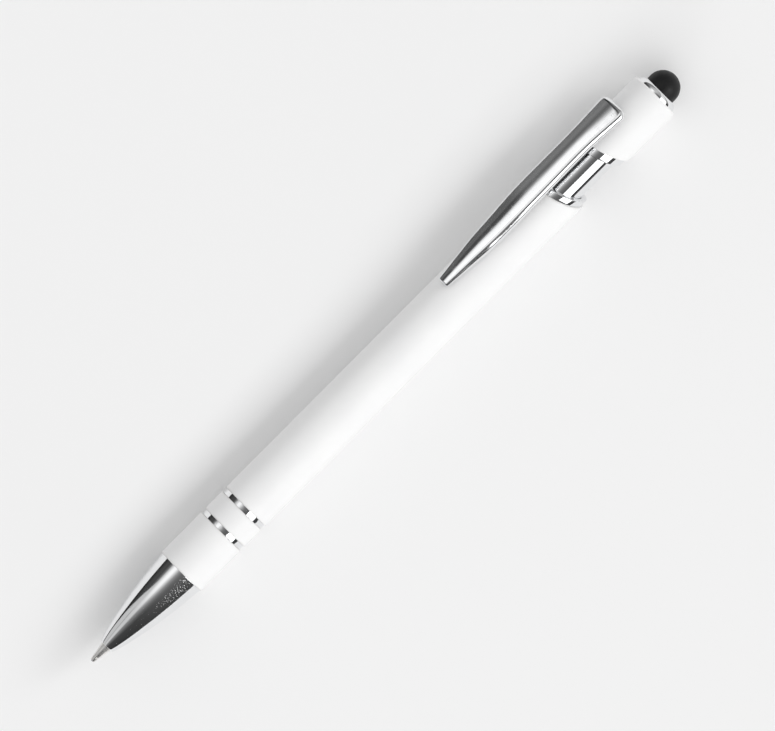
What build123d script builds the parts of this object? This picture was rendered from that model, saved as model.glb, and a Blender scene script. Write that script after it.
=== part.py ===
from build123d import *
import os
from math import cos, pi, radians, sin, sqrt, tan

# Retractable ballpoint with a stylus cap. Millimetres. The pen lies along X, with the stylus at +X.
# The origin is on the axis at the front edge of the barrel.

# Fits
press_gap = 0.03
running_gap = 0.05
slide_gap = 0.15
overrun = 1.0

# Straight bands that a bowed outline is turned in
bow_bands = 5
small_bow_bands = 3
ball_bands = 6

# Roll of the clip about the axis, from +Y towards +Z, and the slant of the cut ends
clip_roll = 55.0
slant_angle = 23.3

# Barrel tube
barrel_diameter = 9.5
barrel_wall = 0.85
barrel_length = 92.35

# Trim rings in the barrel
trim_ring_places = (9.75, 14.85)
trim_ring_width = 1.0
trim_ring_thickness = 0.26
trim_ring_crown = 0.08
trim_ring_sink = 0.2
trim_ring_slit = 4.0

# Nose cone
nose_length = 18.27
nose_tip_radius = 1.45
nose_step = 0.09
nose_bulge = 0.52
nose_rim_break = 0.08
nose_spigot_length = 8.0
nose_chamber_room = 0.35
nose_point_length = 6.3

# Front bush that takes the nose cone's spigot
front_bush_length = 10.6
front_bush_setback = 0.4
front_bush_wall = 0.64

# Slanted bush at the rear end of the barrel
bush_lip_length = 1.3
bush_lip_step = 0.3
bush_lip_break = 0.12
bush_depth = 5.2
bush_wall = 0.42

# Plunger tube: neck, collar and stop flange
neck_wall = 0.6
neck_gap_length = 8.7
collar_length = 1.55
collar_step = 0.41
collar_flare = 0.7
stop_flange_thickness = 1.2
neck_overlap = 7.1

# Push cap
cap_step = 0.04
cap_wall = 0.5
cap_length = 12.15
cap_edge_round = 0.45
liner_length = 5.0

# Crown ring and stylus
crown_height = 1.15
crown_step = 0.06
crown_spigot_length = 4.0
stylus_inset = 1.18
stylus_wall = 0.9
stylus_neck_length = 0.8
stylus_flange = 0.4
stylus_flange_thickness = 0.8
stylus_post_room = 0.28
stylus_post_disc = 1.2
stylus_post_spigot = 5.0

# Travel of the plunger
retract_travel = 5.0
press_travel = 1.6

# Click mechanism, with shares of the barrel's bore
groove_count = 4
guide_wall_share = 0.146
land_height_share = 0.18
land_length = 10.5
cam_wall = 0.95
rib_width = 1.1
rib_length = 3.0
key_length = 5.0
key_setback = 1.6
tooth_depth = 0.7
rotor_nose = 1.2
rotor_tail = 2.15
socket_depth = 2.5

# Refill, with the tube's share of the barrel's bore
point_reach = 3.68
point_rim = 0.05
point_cone_length = 4.3
shank_radius = 1.15
shank_end = 9.0
point_tail_length = 3.0
point_tail_radius = 0.85
ink_bore = 0.45
feed_bore = 0.2
ball_radius = 0.35
ball_gap = 0.02
ball_grip = 0.12
adapter_flange_thickness = 1.0
adapter_plug_length = 4.0
tube_share = 0.385
tube_wall = 0.3
plug_head = 1.0
plug_length = 3.0
vent_radius = 0.3

# Return spring
spring_wire = 0.4
spring_room = 0.4
spring_turns = 6
spring_space = 14.0
biarcs_per_turn = 2
wire_sides = 6
coil_samples = 24

# Clip: largest sizes, and its shape at stations from the front end to the rear end
clip_length = 42.9
clip_overlap = 6.45
clip_sheet = 0.5
clip_width = 5.7
clip_depth = 1.75
clip_lift = 0.87
clip_dome = 0.45
clip_station_shares = (0.0, 0.12, 0.25, 0.5, 0.75, 1.0)
clip_width_shares = (0.37, 0.56, 0.72, 0.8, 0.77, 1.0)
clip_depth_shares = (0.53, 0.64, 0.86, 1.0, 0.98, 0.76)
clip_lift_shares = (0.22, 0.15, 0.09, 0.69, 0.88, 1.0)
clip_dome_shares = (0.5, 0.7, 0.9, 1.0, 1.0, 0.9)
clip_tip_solid = 1.2
clip_end_round = 0.9
clip_tip_round = 0.4
clip_foot_width = 2.0
clip_foot_setback = 0.65
clip_tab_length = 2.6
clip_tab_thickness = 0.4
clip_tab_lift = 0.22

# Worked out from the sizes above
barrel_radius = barrel_diameter / 2
barrel_bore = barrel_radius - barrel_wall
diagonal_share = sqrt(0.5)
slant_run = tan(radians(slant_angle))
slant_reach = barrel_radius * slant_run + overrun
clip_up = Vector(0, cos(radians(clip_roll)), sin(radians(clip_roll)))
clip_side = Vector(0, -sin(radians(clip_roll)), cos(radians(clip_roll)))
side_view = Plane(origin=(0, 0, 0), x_dir=(1, 0, 0), z_dir=clip_side)

bush_bore = barrel_bore - press_gap - bush_wall
bush_lip_radius = barrel_radius - bush_lip_step
bush_inner_end = barrel_length - bush_depth
flange_rear = bush_inner_end - retract_travel - slide_gap
flange_front = flange_rear - stop_flange_thickness
flange_radius = barrel_bore - slide_gap
neck_radius = bush_bore - running_gap
neck_bore = neck_radius - neck_wall
cap_radius = barrel_radius - cap_step
collar_radius = cap_radius - collar_step
collar_front = barrel_length + bush_lip_length + neck_gap_length
cap_front = collar_front + collar_length
cap_end = cap_front + cap_length
cap_bore = cap_radius - cap_wall
stylus_radius = cap_bore - stylus_inset
neck_end = cap_front + neck_overlap

guide_radius = barrel_bore - press_gap
groove_radius = guide_radius - barrel_bore * guide_wall_share
land_radius = groove_radius - barrel_bore * land_height_share
cam_radius = land_radius - slide_gap
cam_bore = cam_radius - cam_wall
guide_rear = flange_front - press_travel - slide_gap
land_front = guide_rear - land_length
rib_rear = land_front - slide_gap
rib_front = rib_rear - rib_length
rib_radius = groove_radius - slide_gap
groove_width = rib_width + 2 * slide_gap
guide_front = rib_front - press_travel - rotor_nose
rotor_front = rib_front - rotor_nose
rotor_rear = rib_rear + rotor_tail
push_cam_front = rotor_rear + slide_gap
key_front = push_cam_front + key_setback
tooth_count = 2 * groove_count
tooth_width = 2 * land_radius * tan(pi / tooth_count)

nose_base_radius = barrel_radius - nose_step
nose_front = -nose_length
spring_seat = nose_front + nose_point_length
spring_radius = shank_radius + spring_room + spring_wire / 2
nose_chamber_radius = spring_radius + spring_wire / 2 + nose_chamber_room
nose_spigot_radius = barrel_bore - front_bush_wall - 2 * press_gap
adapter_flange_radius = nose_chamber_radius - slide_gap
point_bore = shank_radius + running_gap
tip_end = nose_front - point_reach
ball_centre = tip_end + ball_radius
point_front = ball_centre - ball_grip
point_front_radius = ball_radius + ball_gap + point_rim
point_shoulder = tip_end + point_cone_length
adapter_front = tip_end + point_cone_length + shank_end
flange_seat = spring_seat + spring_space
tube_front = flange_seat + adapter_flange_thickness
refill_end = rotor_front + socket_depth
tube_end = refill_end - plug_head
tube_radius = barrel_bore * tube_share
tube_bore = tube_radius - tube_wall

foot_front = cap_front - cap_radius * slant_run + clip_foot_setback
foot_rear = foot_front + clip_sheet
tab_bottom = neck_radius + clip_tab_lift
tab_end = foot_rear + clip_tab_length
notch_width = clip_foot_width + 2 * slide_gap
clip_rear = cap_front + clip_overlap
clip_front = clip_rear - clip_length


def slant_at(place):
    """Slanted cutting plane that meets the axis at a place. It leans towards the tip on the clip's side."""
    tilt = radians(slant_angle)
    return Plane(origin=(place, 0, 0), z_dir=Vector(cos(tilt), 0, 0) + clip_up * sin(tilt))


def flat_at(place):
    """Square plane across the axis at a place."""
    return Plane.YZ.offset(place)


def sleeve(outer, inner, front, rear):
    """Tube about the axis between two cutting planes."""
    with BuildPart() as tube:
        with BuildSketch(flat_at(front.origin.X - slant_reach)):
            Circle(outer)
            Circle(inner, mode=Mode.SUBTRACT)
        extrude(amount=rear.origin.X - front.origin.X + 2 * slant_reach)
        split(bisect_by=front, keep=Keep.TOP)
        split(bisect_by=rear, keep=Keep.BOTTOM)
    return tube.part


def bowed(start, middle, end, bands):
    """Points along a bowed line through three places, at the ends of its straight bands."""
    bow = ThreePointArc(start, middle, end, mode=Mode.PRIVATE)
    return [bow @ (number / bands) for number in range(bands + 1)]


def half_round(radius):
    """Half outline of a ball about the centre of the writing ball."""
    return bowed(
        (ball_centre - radius, 0),
        (ball_centre, radius),
        (ball_centre + radius, 0),
        ball_bands,
    )


def turned_profile(*points, cut=Mode.ADD):
    """Closed outline of places along the axis and radii, turned about the axis."""
    with BuildSketch(Plane.XZ) as profile:
        with BuildLine():
            Polyline(*points, close=True)
        make_face()
    revolve(profile.sketch, axis=Axis.X, mode=cut)


def saw_teeth(place, width, depth, lean, count):
    """Cuts saw teeth into an end face. A positive lean cuts towards +X from the place."""
    for number in range(count):
        turn = 2 * pi * number / count
        outward = Vector(0, cos(turn), sin(turn))
        with BuildSketch(Plane(origin=(place, 0, 0), x_dir=(lean, 0, 0), z_dir=outward)) as tooth:
            with BuildLine():
                Polyline(
                    (-overrun, -width / 2),
                    (0, -width / 2),
                    (depth, width / 2),
                    (-overrun, width / 2),
                    close=True,
                )
            make_face()
        extrude(tooth.sketch, amount=groove_radius, mode=Mode.SUBTRACT)


def cross_ribs(reach, width):
    """Sketch of the ribs that run in the guide's grooves."""
    with PolarLocations(0, groove_count // 2, angular_range=180):
        Rectangle(2 * reach, width)
    Circle(reach, mode=Mode.INTERSECT)


# Barrel
with BuildPart() as barrel:
    add(sleeve(barrel_radius, barrel_bore, flat_at(0), slant_at(barrel_length)))
    for place in trim_ring_places:
        with BuildSketch(flat_at(place)):
            Circle(barrel_radius + overrun)
            Circle(barrel_radius - trim_ring_sink - trim_ring_thickness, mode=Mode.SUBTRACT)
        extrude(amount=trim_ring_width, mode=Mode.SUBTRACT)
barrel.part.label = "barrel"

# Trim rings: split rings with a crowned face, slit on the underside
trim_rings = []
ring_inner = barrel_radius - trim_ring_sink - trim_ring_thickness + press_gap
ring_outer = barrel_radius - trim_ring_sink
underside = Plane(origin=(0, 0, 0), x_dir=(1, 0, 0), z_dir=(0, 1, 0))
for place, name in zip(trim_ring_places, ("trim_ring_front", "trim_ring_rear")):
    start = place + press_gap
    end = place + trim_ring_width - press_gap
    ring_edge = ring_outer - trim_ring_crown
    ring_face = bowed((end, ring_edge), ((start + end) / 2, ring_outer), (start, ring_edge), small_bow_bands)
    with BuildPart() as trim_ring:
        with BuildSketch(underside):
            with BuildLine():
                Polyline((start, ring_inner), (end, ring_inner), *ring_face, close=True)
            make_face()
        revolve(axis=Axis.X, revolution_arc=360 - trim_ring_slit)
    trim_ring.part.label = name
    trim_rings.append(trim_ring.part)

# Nose cone: ogive, spigot, spring chamber and the bore for the point
nose_middle_radius = (nose_tip_radius + nose_base_radius) / 2 + nose_bulge
nose_outline = bowed(
    (0, nose_base_radius),
    (nose_front / 2, nose_middle_radius),
    (nose_front, nose_tip_radius),
    bow_bands,
)
with BuildPart() as nose_cone:
    turned_profile(
        (nose_front, point_bore),
        (spring_seat, point_bore),
        (spring_seat, nose_chamber_radius),
        (nose_spigot_length, nose_chamber_radius),
        (nose_spigot_length, nose_spigot_radius),
        (0, nose_spigot_radius),
        *nose_outline,
    )
    chamfer(nose_cone.edges().group_by(Axis.X)[0], length=nose_rim_break)
nose_cone.part.label = "nose_cone"

# Front bush
with BuildPart() as front_bush:
    add(
        sleeve(
            barrel_bore - press_gap,
            nose_spigot_radius + press_gap,
            flat_at(front_bush_setback),
            flat_at(front_bush_setback + front_bush_length),
        )
    )
front_bush.part.label = "front_bush"

# Barrel bush: spigot in the barrel and a slanted lip
with BuildPart() as barrel_bush:
    lip_end = slant_at(barrel_length + bush_lip_length)
    add(sleeve(barrel_bore - press_gap, bush_bore, flat_at(bush_inner_end), lip_end))
    add(sleeve(bush_lip_radius, bush_bore, slant_at(barrel_length), lip_end))
    lip_face = barrel_bush.faces().sort_by(Axis(origin=(0, 0, 0), direction=lip_end.z_dir))[-1]
    chamfer(lip_face.outer_wire().edges(), length=bush_lip_break)
barrel_bush.part.label = "barrel_bush"

# Plunger tube: stop flange, neck and slanted collar with a flared front
with BuildPart() as plunger_tube:
    turned_profile(
        (flange_front, neck_bore),
        (flange_front, flange_radius),
        (flange_rear, flange_radius),
        (flange_rear, neck_radius),
        (neck_end, neck_radius),
        (neck_end, neck_bore),
    )
    add(sleeve(collar_radius, neck_bore, slant_at(collar_front), slant_at(cap_front)))
    ovals = plunger_tube.edges().filter_by(GeomType.ELLIPSE)
    collar_middle = (collar_front + cap_front) / 2
    front_ovals = ovals.filter_by(lambda edge: edge.center(CenterOf.BOUNDING_BOX).X < collar_middle)
    chamfer(front_ovals.group_by(SortBy.LENGTH)[0], length=collar_flare)
plunger_tube.part.label = "plunger_tube"

# Push cap: slanted lower edge with the notch of the clip's foot
cap_edge_swell = cap_edge_round * (1 - diagonal_share)
cap_edge = bowed(
    (cap_end - cap_edge_round, cap_radius),
    (cap_end - cap_edge_swell, cap_radius - cap_edge_swell),
    (cap_end, cap_radius - cap_edge_round),
    small_bow_bands,
)
with BuildPart() as cap_shell:
    turned_profile(
        (cap_end, cap_bore),
        (cap_front - slant_reach, cap_bore),
        (cap_front - slant_reach, cap_radius),
        *cap_edge,
    )
    split(bisect_by=slant_at(cap_front), keep=Keep.TOP)
    with BuildSketch(Plane(origin=clip_up * cap_radius, x_dir=(1, 0, 0), z_dir=clip_up)):
        with Locations((foot_rear + slide_gap - slant_reach / 2, 0)):
            Rectangle(slant_reach, notch_width)
    extrude(amount=2 * cap_wall, both=True, mode=Mode.SUBTRACT)
cap_shell.part.label = "cap_shell"

# Cap liner: sleeve with the keyway of the clip's tab
with BuildPart() as cap_liner:
    liner_end = cap_front + liner_length
    add(sleeve(cap_bore - press_gap, neck_radius + press_gap, slant_at(cap_front), flat_at(liner_end)))
    with BuildSketch(Plane(origin=clip_up * neck_radius, x_dir=(1, 0, 0), z_dir=clip_up)):
        with Locations((tab_end + slide_gap - slant_reach, 0)):
            Rectangle(2 * slant_reach, notch_width)
    extrude(amount=cap_wall + cap_bore - neck_radius, both=True, mode=Mode.SUBTRACT)
cap_liner.part.label = "cap_liner"

# Clip: domed channel with a solid tip, and its foot and tab


def clip_channel(inset, front, rear, drop):
    """Lofted channel of the clip, drawn in by an inset all round and let down by a drop at its open side."""
    places = [clip_front + clip_length * share for share in clip_station_shares]
    places[0] = front
    places[-1] = rear
    shape = zip(places, clip_width_shares, clip_depth_shares, clip_lift_shares, clip_dome_shares)
    with BuildPart() as channel:
        for place, width_share, depth_share, lift_share, dome_share in shape:
            half = clip_width * width_share / 2 - inset
            low = barrel_radius + clip_lift * lift_share
            top = low + clip_depth * depth_share - inset
            crest = top + clip_dome * dome_share
            roof = bowed((half, top), (0, crest), (-half, top), bow_bands)
            with BuildSketch(Plane(origin=(place, 0, 0), x_dir=-clip_side, z_dir=(1, 0, 0))):
                with BuildLine():
                    Polyline((-half, low - drop), (half, low - drop), *roof, close=True)
                make_face()
        loft()
    return channel.part


with BuildPart() as clip:
    add(clip_channel(0, clip_front, clip_rear, 0))
    with BuildSketch(Plane(origin=(0, 0, 0), x_dir=(1, 0, 0), z_dir=clip_up)) as plan:
        tip_half = clip_width * clip_width_shares[0] / 2
        with BuildLine():
            Polyline(
                (clip_front, -tip_half),
                (clip_front + clip_width, -clip_width / 2),
                (clip_rear, -clip_width / 2),
                (clip_rear, clip_width / 2),
                (clip_front + clip_width, clip_width / 2),
                (clip_front, tip_half),
                close=True,
            )
        make_face()
        fillet(plan.vertices().group_by(Axis.X)[-1], radius=clip_end_round)
        fillet(plan.vertices().group_by(Axis.X)[0], radius=clip_tip_round)
    extrude(amount=barrel_diameter, mode=Mode.INTERSECT)
    add(
        clip_channel(clip_sheet, clip_front + clip_tip_solid, clip_rear - clip_sheet, overrun),
        mode=Mode.SUBTRACT,
    )
    with BuildSketch(side_view):
        roof_low = barrel_radius + clip_lift * clip_lift_shares[-2] + clip_depth * clip_depth_shares[-2]
        foot_top = roof_low + clip_dome * clip_dome_shares[-2] - clip_sheet / 2
        with BuildLine():
            Polyline(
                (foot_front, tab_bottom),
                (tab_end, tab_bottom),
                (tab_end, tab_bottom + clip_tab_thickness),
                (foot_rear, tab_bottom + clip_tab_thickness),
                (foot_rear, foot_top),
                (foot_front, foot_top),
                close=True,
            )
        make_face()
    extrude(amount=clip_foot_width / 2, both=True)
clip.part.label = "clip"

# Crown ring: rounded ring with a spigot in the cap
crown_bore = stylus_radius + running_gap
crown_foot_radius = cap_bore - crown_step
crown_swell = (crown_foot_radius - crown_bore) * diagonal_share
crown_outline = bowed(
    (cap_end + crown_height, crown_bore),
    (cap_end + crown_height * diagonal_share, crown_bore + crown_swell),
    (cap_end, crown_foot_radius),
    bow_bands,
)
flange_bore = stylus_radius + stylus_flange + running_gap
flange_top = cap_end - stylus_flange_thickness
with BuildPart() as crown_ring:
    turned_profile(
        (cap_end, cap_bore - press_gap),
        (cap_end - crown_spigot_length, cap_bore - press_gap),
        (cap_end - crown_spigot_length, flange_bore),
        (flange_top, flange_bore),
        (flange_top, crown_bore),
        *crown_outline,
    )
crown_ring.part.label = "crown_ring"

# Stylus tip: hollow rubber dome with a flange under the crown ring
dome_centre = cap_end + crown_height + stylus_neck_length
flange_low = flange_top - stylus_flange_thickness
hollow = stylus_radius - stylus_wall
dome_outline = bowed(
    (dome_centre + stylus_radius, 0),
    (dome_centre + stylus_radius * diagonal_share, stylus_radius * diagonal_share),
    (dome_centre, stylus_radius),
    bow_bands,
)
hollow_outline = bowed(
    (dome_centre, hollow),
    (dome_centre + hollow * diagonal_share, hollow * diagonal_share),
    (dome_centre + hollow, 0),
    small_bow_bands,
)
with BuildPart() as stylus_tip:
    turned_profile(
        *dome_outline,
        (flange_top, stylus_radius),
        (flange_top, stylus_radius + stylus_flange),
        (flange_low, stylus_radius + stylus_flange),
        (flange_low, hollow),
        *hollow_outline,
    )
stylus_tip.part.label = "stylus_tip"

# Stylus post: spigot in the neck, disc under the stylus flange and post in the dome
with BuildPart() as stylus_post:
    disc_low = flange_low - stylus_post_disc
    stylus_post_radius = hollow - stylus_post_room
    post_end = dome_centre + stylus_post_radius / 2
    turned_profile(
        (neck_end - stylus_post_spigot, 0),
        (neck_end - stylus_post_spigot, neck_bore - press_gap),
        (disc_low, neck_bore - press_gap),
        (disc_low, stylus_radius + stylus_flange),
        (flange_low, stylus_radius + stylus_flange),
        (flange_low, stylus_post_radius),
        (post_end, stylus_post_radius),
        (post_end, 0),
    )
stylus_post.part.label = "stylus_post"

# Cam guide: sleeve with grooved lands, saw-toothed at their front ends
with BuildPart() as cam_guide:
    with BuildSketch(flat_at(land_front)):
        Circle((guide_radius + groove_radius) / 2)
        Circle(land_radius, mode=Mode.SUBTRACT)
        with PolarLocations(0, groove_count // 2, angular_range=180):
            Rectangle(2 * guide_radius, groove_width, mode=Mode.SUBTRACT)
    extrude(amount=land_length)
    saw_teeth(land_front, tooth_width, tooth_depth, 1, tooth_count)
    add(sleeve(guide_radius, groove_radius, flat_at(guide_front), flat_at(guide_rear)))
cam_guide.part.label = "cam_guide"

# Rotor: ribbed indexing cam with saw teeth at its rear end and a socket for the refill
with BuildPart() as rotor:
    with BuildSketch(flat_at(rotor_front)):
        Circle(cam_radius)
    extrude(amount=rotor_rear - rotor_front)
    saw_teeth(rotor_rear, tooth_width, tooth_depth, -1, tooth_count)
    with BuildSketch(flat_at(rib_front)):
        cross_ribs(rib_radius, rib_width)
    extrude(amount=rib_length)
    with BuildSketch(flat_at(rotor_front)):
        Circle(tube_radius + running_gap)
    extrude(amount=socket_depth, mode=Mode.SUBTRACT)
rotor.part.label = "rotor"

# Push cam: toothed tube with keys in the guide's grooves, pressed into the neck
with BuildPart() as push_cam:
    with BuildSketch(flat_at(push_cam_front)):
        Circle(cam_radius)
    extrude(amount=flange_front - push_cam_front)
    saw_teeth(push_cam_front, tooth_width, tooth_depth, 1, tooth_count)
    with BuildSketch(flat_at(key_front)):
        cross_ribs(rib_radius, rib_width)
    extrude(amount=key_length)
    with BuildSketch(flat_at(flange_front)):
        Circle(neck_bore - press_gap)
    extrude(amount=bush_depth)
    with BuildSketch(flat_at(push_cam_front)):
        Circle(cam_bore)
    extrude(amount=flange_front - push_cam_front + bush_depth, mode=Mode.SUBTRACT)
push_cam.part.label = "push_cam"

# Refill point: cone, shank and tail, with the ball's socket and the ink's bore
with BuildPart() as refill_point:
    socket_radius = ball_radius + ball_gap
    tail_end = adapter_front + point_tail_length
    turned_profile(
        (point_front, 0),
        (point_front, point_front_radius),
        (point_shoulder, shank_radius),
        (adapter_front, shank_radius),
        (adapter_front, point_tail_radius),
        (tail_end, point_tail_radius),
        (tail_end, ink_bore),
        (point_shoulder, ink_bore),
        (point_shoulder, feed_bore),
        (ball_centre, feed_bore),
        (ball_centre, 0),
    )
    turned_profile(*half_round(socket_radius), cut=Mode.SUBTRACT)
refill_point.part.label = "refill_point"

# Refill ball
with BuildPart() as refill_ball:
    turned_profile(*half_round(ball_radius))
refill_ball.part.label = "refill_ball"

# Refill adapter: holds the point, seats the spring and plugs the tube
with BuildPart() as refill_adapter:
    plug_end = tube_front + adapter_plug_length
    plug_radius = tube_bore - press_gap
    turned_profile(
        (adapter_front, point_tail_radius + press_gap),
        (adapter_front, shank_radius),
        (flange_seat, shank_radius),
        (flange_seat, adapter_flange_radius),
        (tube_front, adapter_flange_radius),
        (tube_front, plug_radius),
        (plug_end, plug_radius),
        (plug_end, ink_bore),
        (tail_end, ink_bore),
        (tail_end, point_tail_radius + press_gap),
    )
refill_adapter.part.label = "refill_adapter"

# Refill tube
with BuildPart() as refill_tube:
    add(sleeve(tube_radius, tube_bore, flat_at(tube_front), flat_at(tube_end)))
refill_tube.part.label = "refill_tube"

# Refill plug with its vent
with BuildPart() as refill_plug:
    turned_profile(
        (tube_end - plug_length, vent_radius),
        (tube_end - plug_length, plug_radius),
        (tube_end, plug_radius),
        (tube_end, tube_radius),
        (refill_end, tube_radius),
        (refill_end, vent_radius),
    )
refill_plug.part.label = "refill_plug"

# Return spring: one unbroken wire on pairs of tangent arcs
coil_start = spring_seat + spring_wire / 2 + press_gap
coil_pitch = (spring_space - spring_wire - 2 * press_gap) / spring_turns


def coil_point(turns):
    """Point on the coil's centre line."""
    turn = 2 * pi * turns
    return Vector(coil_start + coil_pitch * turns, spring_radius * cos(turn), spring_radius * sin(turn))


def coil_tangent(turns):
    """Direction of the coil's centre line."""
    turn = 2 * pi * turns
    round_trip = 2 * pi * spring_radius
    return Vector(coil_pitch, -round_trip * sin(turn), round_trip * cos(turn)).normalized()


with BuildPart() as return_spring:
    with BuildLine() as coil:
        for step in range(spring_turns * biarcs_per_turn):
            first = coil_point(step / biarcs_per_turn)
            last = coil_point((step + 1) / biarcs_per_turn)
            leaving = coil_tangent(step / biarcs_per_turn)
            arriving = coil_tangent((step + 1) / biarcs_per_turn)
            span = last - first
            both_ways = leaving + arriving
            bend = 2 * (1 - leaving.dot(arriving))
            along = span.dot(both_ways)
            reach = (sqrt(along**2 + bend * span.dot(span)) - along) / bend
            middle = (first + last + (leaving - arriving) * reach) / 2
            TangentArc(first, middle, tangent=leaving)
            TangentArc(middle, last, tangent=(last - middle) * 2 - arriving * (2 * reach))
    with BuildSketch(Plane(origin=coil_point(0), z_dir=coil_tangent(0))):
        RegularPolygon(spring_wire / 2, wire_sides)
    sweep(path=coil.line)
return_spring.part.label = "return_spring"
coil_marks = [coil_point(step / coil_samples) for step in range(spring_turns * coil_samples + 1)]
coil_spans = [
    (later - mark).length
    for number, mark in enumerate(coil_marks)
    for later in coil_marks[number + coil_samples // 2 :]
]
print("least gap of the spring to itself", round(min(coil_spans) - spring_wire, 3), "mm")

pieces = [barrel, nose_cone, front_bush, barrel_bush, plunger_tube, cap_shell, cap_liner, clip]
pieces += [crown_ring, stylus_tip, stylus_post, cam_guide, rotor, push_cam, refill_point, refill_ball]
pieces += [refill_adapter, refill_tube, refill_plug, return_spring]

os.makedirs("parts", exist_ok=True)
for solid in [piece.part for piece in pieces] + trim_rings:
    export_step(solid, f"parts/{solid.label}.step")
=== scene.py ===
from math import cos, pi, radians, sin, sqrt, tan

import bmesh
import bpy
from mathutils import Matrix, Vector


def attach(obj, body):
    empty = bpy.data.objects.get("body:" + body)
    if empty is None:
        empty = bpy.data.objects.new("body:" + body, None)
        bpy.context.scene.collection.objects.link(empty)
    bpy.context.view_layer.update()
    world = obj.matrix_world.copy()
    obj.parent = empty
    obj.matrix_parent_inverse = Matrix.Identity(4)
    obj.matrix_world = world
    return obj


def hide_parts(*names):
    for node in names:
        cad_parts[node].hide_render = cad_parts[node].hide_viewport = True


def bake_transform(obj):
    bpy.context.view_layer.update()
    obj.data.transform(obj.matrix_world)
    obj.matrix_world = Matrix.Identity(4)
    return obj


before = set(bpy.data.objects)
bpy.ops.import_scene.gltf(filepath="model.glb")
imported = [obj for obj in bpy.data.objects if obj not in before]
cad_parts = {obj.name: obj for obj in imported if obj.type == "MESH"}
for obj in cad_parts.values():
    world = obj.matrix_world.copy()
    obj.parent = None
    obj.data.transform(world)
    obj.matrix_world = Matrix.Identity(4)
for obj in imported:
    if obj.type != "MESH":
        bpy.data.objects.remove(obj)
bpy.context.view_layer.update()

# Sizes that pieces share, in millimetres, along X from the front edge of the barrel
MM = 0.001
CLIP_TURN = radians(55.0)
CLIP_UP = Vector((0, cos(CLIP_TURN), sin(CLIP_TURN)))
CLIP_SIDE = Vector((0, sin(CLIP_TURN), -cos(CLIP_TURN)))
SLANT = tan(radians(23.3))
BARREL_R, BARREL_END = 4.75, 92.35
GROOVES = ((9.75, "trim_ring_front"), (14.85, "trim_ring_rear"))
GROOVE_WIDE = 1.0
SPRING_FRONT, SPRING_REAR = -11.97, 2.03
CAP_FRONT, CAP_END = 103.9, 116.05

# Fineness of the meshes, and the angles in degrees past which edges stay sharp
SEGMENTS, POINT_SEGMENTS = 144, 64
SHARP, CLIP_SHARP = 32.0, 40.0
MERGE, ON_AXIS, WHOLE_TURN, NOTCH_STEP = 1e-5, 1e-9, 1e-6, 2e-4


# Shapes
def arc(x, r, radius, start, end, steps, slant=0):
    """Points of a rounding about a centre, with angles in degrees from +X towards the outside."""
    turns = [radians(start + (end - start) * i / steps) for i in range(steps + 1)]
    return [(x + radius * cos(t), r + radius * sin(t), slant) for t in turns]


def flat(*points):
    """Profile points with no slant."""
    return [(x, r, 0) for x, r in points]


def slanted(*points):
    """Profile points on the full slant."""
    return [(x, r, 1) for x, r in points]


def spline(xs, ys, x):
    """Smooth value through known points, with no overshoot."""
    n = len(xs)
    steps = [(ys[i + 1] - ys[i]) / (xs[i + 1] - xs[i]) for i in range(n - 1)]
    slopes = [steps[0]] + [0.0] * (n - 2) + [steps[-1]]
    for i in range(1, n - 1):
        if steps[i - 1] * steps[i] > 0:
            slopes[i] = 2 * steps[i - 1] * steps[i] / (steps[i - 1] + steps[i])
    i = next((k for k in range(n - 1) if x <= xs[k + 1]), n - 2)
    h = xs[i + 1] - xs[i]
    t = max(0.0, min(1.0, (x - xs[i]) / h))
    a = (1 + 2 * t) * (1 - t) ** 2 * ys[i] + t * t * (3 - 2 * t) * ys[i + 1]
    return a + h * (t * (1 - t) ** 2 * slopes[i] + t * t * (t - 1) * slopes[i + 1])


def finish_mesh(bm, name, sharp=SHARP):
    """Object from a bmesh in millimetres, smooth but for edges past an angle in degrees."""
    bmesh.ops.remove_doubles(bm, verts=bm.verts, dist=MERGE)
    bmesh.ops.recalc_face_normals(bm, faces=bm.faces)
    bmesh.ops.scale(bm, vec=(MM, MM, MM), verts=bm.verts)
    for face in bm.faces:
        face.smooth = True
    for edge in bm.edges:
        edge.smooth = len(edge.link_faces) == 2 and edge.calc_face_angle(0) < radians(sharp)
    mesh = bpy.data.meshes.new(name)
    bm.to_mesh(mesh)
    bm.free()
    piece = bpy.data.objects.new(name, mesh)
    bpy.context.scene.collection.objects.link(piece)
    settle = piece.modifiers.new("settle", "WEIGHTED_NORMAL")
    settle.mode, settle.weight, settle.keep_sharp = "FACE_AREA", 50, True
    settled = piece.evaluated_get(bpy.context.evaluated_depsgraph_get())
    piece.data = bpy.data.meshes.new_from_object(settled)
    piece.data.name = name
    piece.modifiers.clear()
    bpy.data.meshes.remove(mesh)
    return piece


def skin(bm, rings, around=True):
    """Faces between each ring of points and the next, which may be closed around."""
    count = len(rings[0])
    for here, there in zip(rings, rings[1:]):
        for j in range(count if around else count - 1):
            k = (j + 1) % count
            bm.faces.new((here[j], here[k], there[k], there[j]))


def cap_ends(bm, rings):
    """Faces over the first and the last ring."""
    bm.faces.new(rings[0])
    bm.faces.new(rings[-1])


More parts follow.
